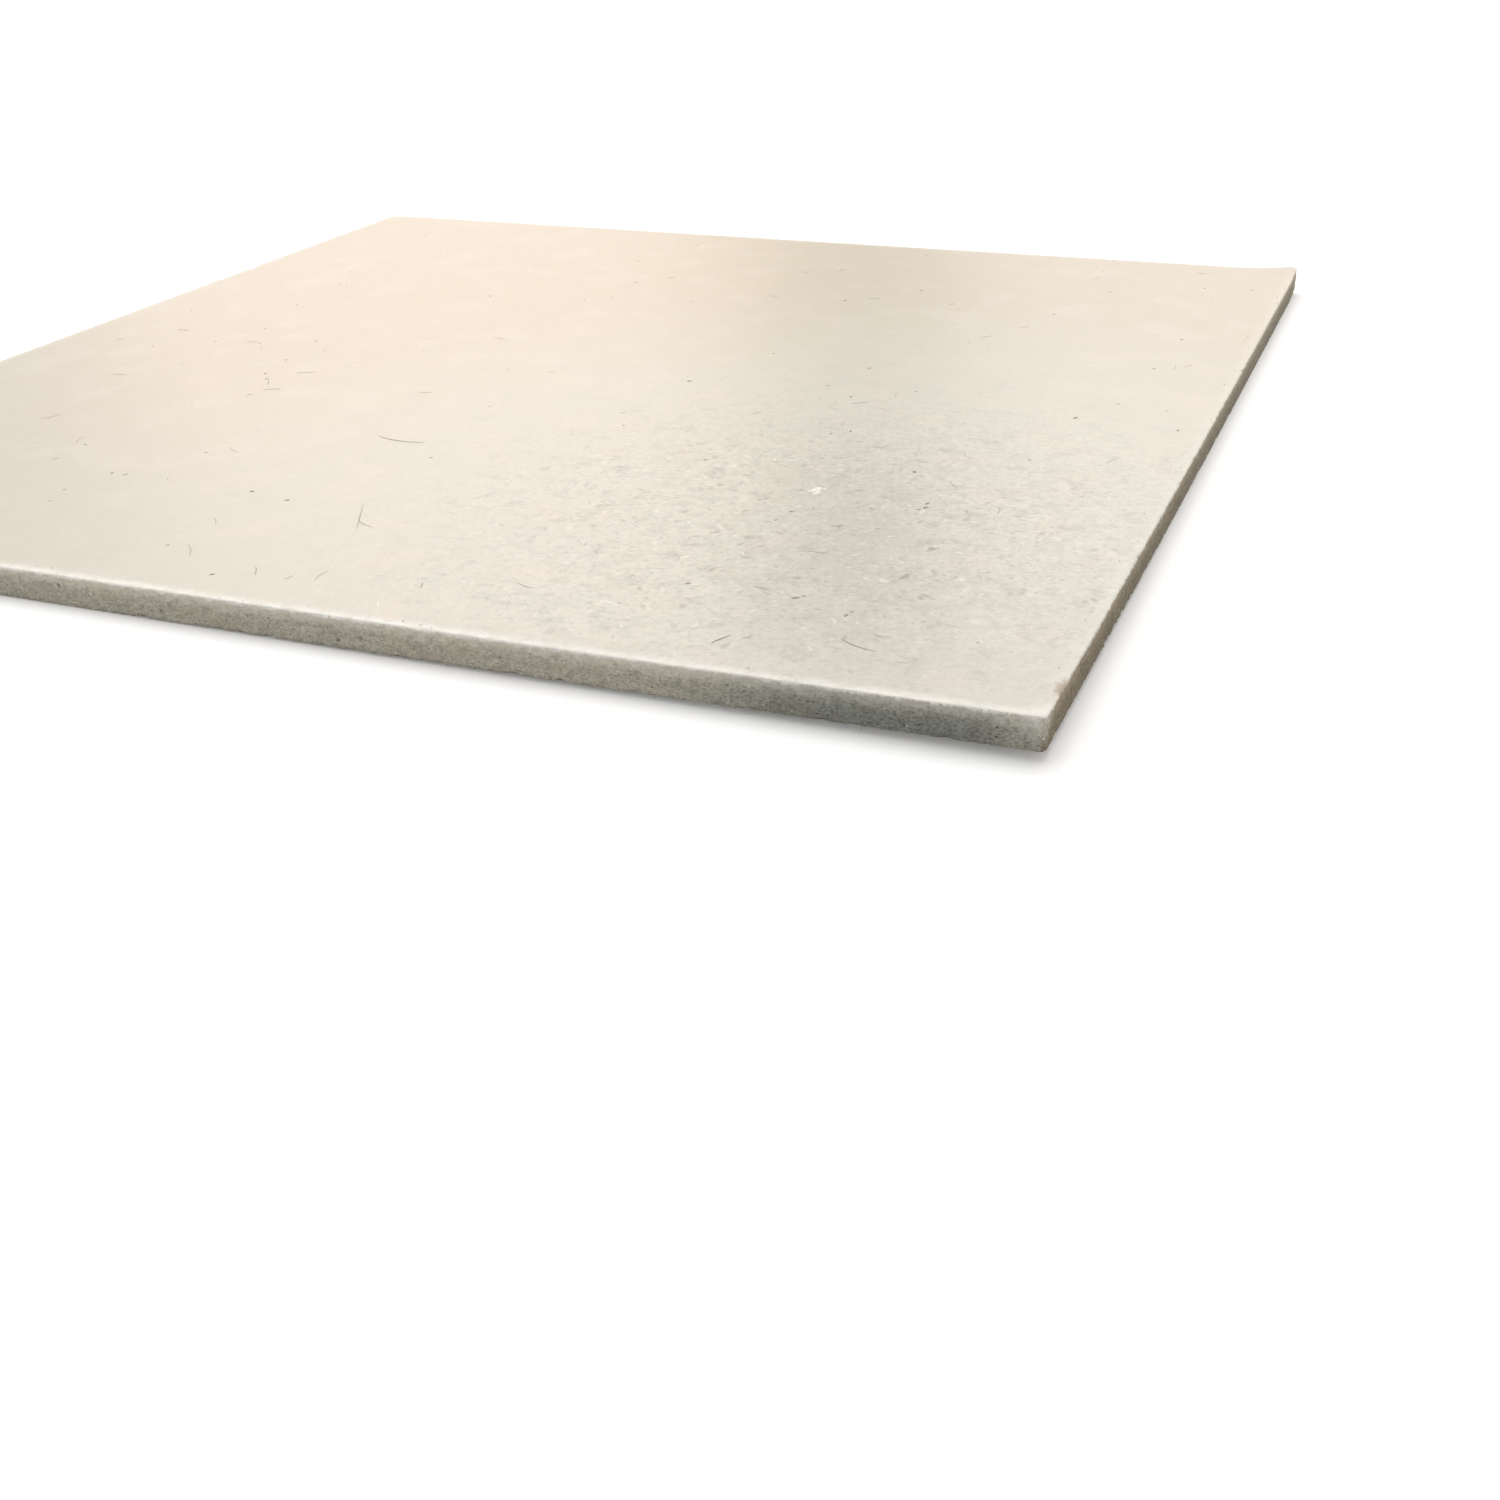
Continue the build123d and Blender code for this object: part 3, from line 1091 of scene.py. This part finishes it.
# %% Where the crumbs cling
crumbs_on_sides = [380, 260, 110, 110]
sunk = 0.04
lip_gap = 0.05
soft_reach = 14.0
soft_depth = 7.0
starts = [number for number, (kind, _, share) in enumerate(samples) if kind == "side" and share == 0]
for start, end, count in zip(starts, starts[1:] + [len(samples)], crumbs_on_sides):
    for _ in range(count):
        sample = samples[crumb_dice.randrange(start, end)]
        radius = crumb_dice.uniform(0.28, 0.62)
        level = crumb_dice.random()
        if crumb_dice.random() >= 0.4:
            level = level ** 3 if level < 0.5 else 1 - (1 - level) ** 3
        place = ring_point(sample, radius + sunk)[0]
        low = underside(*place) + radius + lip_gap
        high = underside(*place) + thickness - radius - lip_gap
        add_crumb(Vector((*place, low + (high - low) * level)), radius)
for _ in range(46):
    x = half_length - crumb_dice.uniform(0.0, 1.0) ** 1.6 * soft_reach
    radius = crumb_dice.uniform(0.35, 0.85)
    place = Vector((min(x, half_length - radius - 0.3), radius + sunk - half_width))
    level = underside(*place) + thickness - radius - 0.1 - crumb_dice.random() ** 2 * soft_depth
    add_crumb(Vector((*place, level)), radius)
highest = box_size.z - lip_gap
for _ in range(120):
    sample = samples[crumb_dice.randrange(len(samples))]
    radius = crumb_dice.uniform(0.14, 0.34)
    place = ring_point(sample, crumb_dice.uniform(0.8, 1.0) * crumb_dice.uniform(1.2, 7.0))[0]
    centre = on_face(place.x, place.y, radius * 0.5)
    if centre.z + radius < highest:
        add_crumb(centre, radius)
crumbs = mesh_object("crumbs", crumb_vertices, crumb_polygons)

# %% The crumbs' material
material, shader = new_material("crumbled_chipboard")
place = in_millimetres()
colour = layered(CORE, (linear("#D9D2C3"), ramp(cloud(place, 1.8), 0.38, 0.62)),
                 (CRUMBLED, ramp(cloud(place, 5.0), 0.52, 0.7, 0.0, 0.7)),
                 (RESIN, ramp(cloud(place, 7.0), 0.46, 0.34, 0.0, 0.8)))
feed(shader, {"Base Color": colour, "Roughness": 0.9})
dress(crumbs, material)

# %% [markdown]
# ## The floor
#
# A plain pale floor that fills the view. To the camera it glows a little, and more far out
# where the lamp doesn't reach, so that it reads as white. It still takes the sheet's shadow.

# %% The floor
floor_reach = 15000.0
floor_level = -0.1
floor_glow = (0.12, 0.75)
glow_distances = (1500.0, 7000.0)


def seen_directly():
    """1 for what is seen, straight or in a reflection, and 0 for what only gives light."""
    rays = add("ShaderNodeLightPath").outputs
    seen = combine("MAXIMUM", rays["Is Camera Ray"], rays["Is Glossy Ray"])
    return combine("MAXIMUM", seen, rays["Is Transmission Ray"])


floor_corners = [Vector((x * floor_reach, y * floor_reach, floor_level)) for x, y in CORNER_SIGNS]
floor = mesh_object("studio_floor", floor_corners, [(0, 1, 2, 3)])
material, shader = new_material("studio_floor")
seen = seen_directly()
white = linear("#FFFFFF")
glow = times(seen, ramp(distance_from(in_millimetres()), *glow_distances, *floor_glow))
feed(shader, {"Base Color": tint(linear("#DEDEDC"), white, seen), "Emission Color": white,
              "Emission Strength": glow, "Roughness": 1.0, "Specular IOR Level": 0.0})
floor.data.materials.append(material)
floor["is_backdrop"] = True
print("floor", 2 * floor_reach, "mm wide")

# %% [markdown]
# ## The light
#
# A white room gives soft light from all round, and one large lamp, high up behind the sheet,
# lights its face more than its front edge. The satin face also mirrors two wide, low, warm
# soft boxes that stand further back, which gives the creamy glare on the far side. Between
# them stands a tall grey card, and its reflection is the dull band that crosses the face.

# %% The room's light
room_light = 0.55
world = bpy.data.worlds.new("white_room")
scene.world = world
open_tree(world)
strength = ramp(seen_directly(), 0.0, 1.0, room_light, 1.0)
background = add("ShaderNodeBackground", {"Color": (1.0, 1.0, 1.0, 1.0), "Strength": strength})
add("ShaderNodeOutputWorld", {"Surface": background.outputs["Background"]})


# %% The lamps
camera_place = Vector((398.2, -760.4, 253.5)) * MM


def lamp(name, place, target, width, height, radiance, colour):
    """A soft box that faces a target and isn't seen itself."""
    data = bpy.data.lights.new(name, "AREA")
    data.shape = "RECTANGLE"
    data.size, data.size_y = width, height
    data.energy = radiance * math.pi * width * height
    data.color = linear(colour)[:3]
    box = put_in_scene(name, data)
    box.location = place
    box.rotation_euler = (place - target).to_track_quat("Z", "Y").to_euler()
    box.visible_camera = False
    print(name, "at", place)


def heading_to(degrees, distance, level):
    """A place that far from the camera, at a heading clockwise from the Y axis."""
    turn = math.radians(degrees)
    return Vector((camera_place.x + math.sin(turn) * distance,
                   camera_place.y + math.cos(turn) * distance, level))


overhead_place = Vector((-0.80, 1.95, 6.70))
overhead_size = 5.4
lamp("overhead_soft_box", overhead_place, Vector(), overhead_size, overhead_size, 2.85, "#FFFEFC")

# The low soft boxes: name, heading, level, width, height, radiance and colour
low_boxes = [
    ("left_soft_box", -32.0, 0.88, 1.2, 0.70, 2.12, "#FFD9BE"),
    ("right_soft_box", 4.9, 1.03, 2.46, 0.86, 1.42, "#FFE0C7"),
]
box_distance = 3.3
for name, heading, level, width, height, radiance, colour in low_boxes:
    place = heading_to(heading, box_distance, level)
    lamp(name, place, Vector((*camera_place.xy, level)), width, height, radiance, colour)

# %% [markdown]
# ## The camera
#
# The camera stands low in front of the sheet's right half and looks down on it at 28 degrees.
# The sheet's straight edges run to vanishing points in the photograph, and those give the
# camera's place, its turn and its lens.

# %% The camera
camera_heading = math.radians(-22.76)
camera_pitch = math.radians(28.02)
camera_roll = math.radians(-1.63)
camera_data = bpy.data.cameras.new("camera")
camera_data.lens = 42.56
camera_data.clip_start = 0.01
camera_data.clip_end = 60.0
camera = put_in_scene("camera", camera_data)
turn = Matrix.Rotation(-camera_heading, 4, "Z")
tilt = Matrix.Rotation(math.pi / 2 - camera_pitch, 4, "X")
roll = Matrix.Rotation(camera_roll, 4, "Z")
camera.matrix_world = Matrix.Translation(camera_place) @ turn @ tilt @ roll
bpy.context.scene.camera = camera
scene.view_settings.view_transform = "Standard"
print("camera at", camera_place)

# %% The grey card
card_heading = -19.9
card_distance = 3.4
card_width = 0.50
card_foot = 0.05
card_top = 6.0
card_darkens = (430.0, 1060.0)
card_place = heading_to(card_heading, card_distance, 0.0)
away = (card_place - Vector((*camera_place.xy, 0.0))).normalized()
half_card = Vector((away.y, -away.x, 0.0)) * (card_width / 2)
card_corners = [card_place + half_card * side + Vector((0, 0, level)) for side, level in
                [(-1, card_foot), (1, card_foot), (1, card_top), (-1, card_top)]]
card = mesh_object("grey_card", [corner / MM for corner in card_corners], [(0, 1, 2, 3)])
material, shader = new_material("grey_card")
level = add("ShaderNodeSeparateXYZ", {"Vector": in_millimetres()}).outputs["Z"]
greys = tint(linear("#F4F6E4"), linear("#4C4E4A"), ramp(level, *card_darkens))
feed(shader, {"Base Color": greys, "Roughness": 1.0})
card.data.materials.append(material)
card.visible_camera = card.visible_diffuse = card.visible_shadow = False
card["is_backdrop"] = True
print("grey card at", card_place)

# %% [markdown]
# ## The dressed box
#
# The box of the dressed board is printed, as the imported model's box was at the start.

# %% Print the dressed box
low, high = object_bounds()
print("dressed box", low, high)
